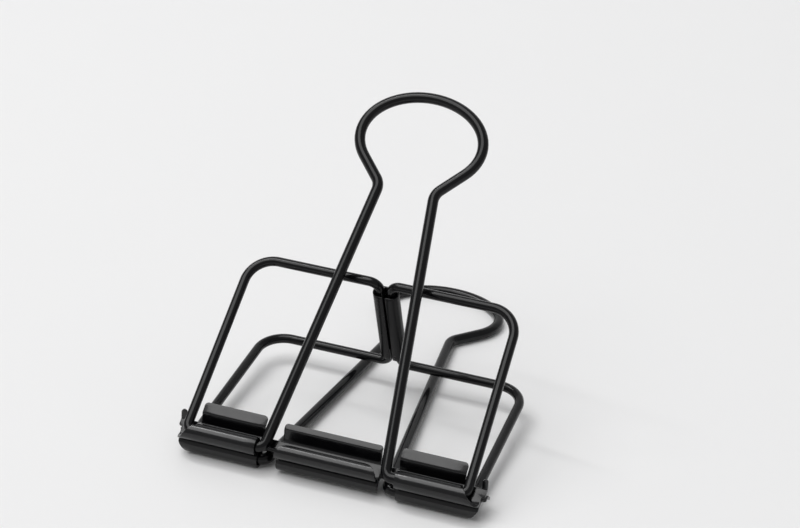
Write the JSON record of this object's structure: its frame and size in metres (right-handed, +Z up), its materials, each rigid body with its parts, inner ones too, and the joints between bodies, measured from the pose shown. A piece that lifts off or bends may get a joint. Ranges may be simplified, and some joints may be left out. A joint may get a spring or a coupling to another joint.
{
  "type": "binder clip",
  "caption": "Black wire-frame binder clip with rolled sheet jaws and two folding wire handles, lying on one side with both handles folded back.",
  "frame": {"origin": "middle of the bounding box's base, on the table the clip lies on", "axes": "+X along the jaws, to the right seen from the jaws; +Y from the jaws towards the handle tips; +Z up"},
  "size_m": [0.052, 0.067, 0.0482],
  "materials": {
    "frame_wire": "gloss",
    "handle_wire": "gloss",
    "jaw": "gloss",
    "sleeve": "gloss"
  },
  "bodies": {
    "spine": {"spine_sleeve": "sleeve", "spine_wire_left": "frame_wire", "spine_wire_right": "frame_wire"},
    "upper_frame": {"upper_left_wire": "frame_wire", "upper_right_wire": "frame_wire", "upper_jaw": "jaw"},
    "lower_frame": {"lower_left_wire": "frame_wire", "lower_right_wire": "frame_wire", "lower_jaw": "jaw"},
    "upper_handle": {"upper_handle": "handle_wire"},
    "lower_handle": {"lower_handle": "handle_wire"}
  },
  "joints": [
    {"name": "upper_frame_hinge", "type": "hinge", "parent": "spine", "child": "upper_frame", "pos_m": [-0.0004, -0.00601, 0.02306], "axis": [-1, 0, 0], "range_deg": [0, 18], "stiffness_Nm_per_rad": 2, "springref_deg": -8.59},
    {"name": "lower_frame_hinge", "type": "hinge", "parent": "spine", "child": "lower_frame", "pos_m": [-0.0004, 0.00092, 0.0043], "axis": [1, 0, 0], "range_deg": [0, 18], "stiffness_Nm_per_rad": 2, "springref_deg": -8.59},
    {"name": "upper_handle_pivot", "type": "hinge", "parent": "upper_frame", "child": "upper_handle", "pos_m": [-0.0004, -0.03206, 0.00448], "axis": [1, 0, 0], "range_deg": [0, 155]},
    {"name": "lower_handle_pivot", "type": "hinge", "parent": "lower_frame", "child": "lower_handle", "pos_m": [-0.0004, -0.03095, 0.00148], "axis": [-1, 0, 0], "range_deg": [0, 155]}
  ],
  "couplings": [
    {"joint": "lower_frame_hinge", "follows": "upper_frame_hinge", "ratio": 1}
  ]
}
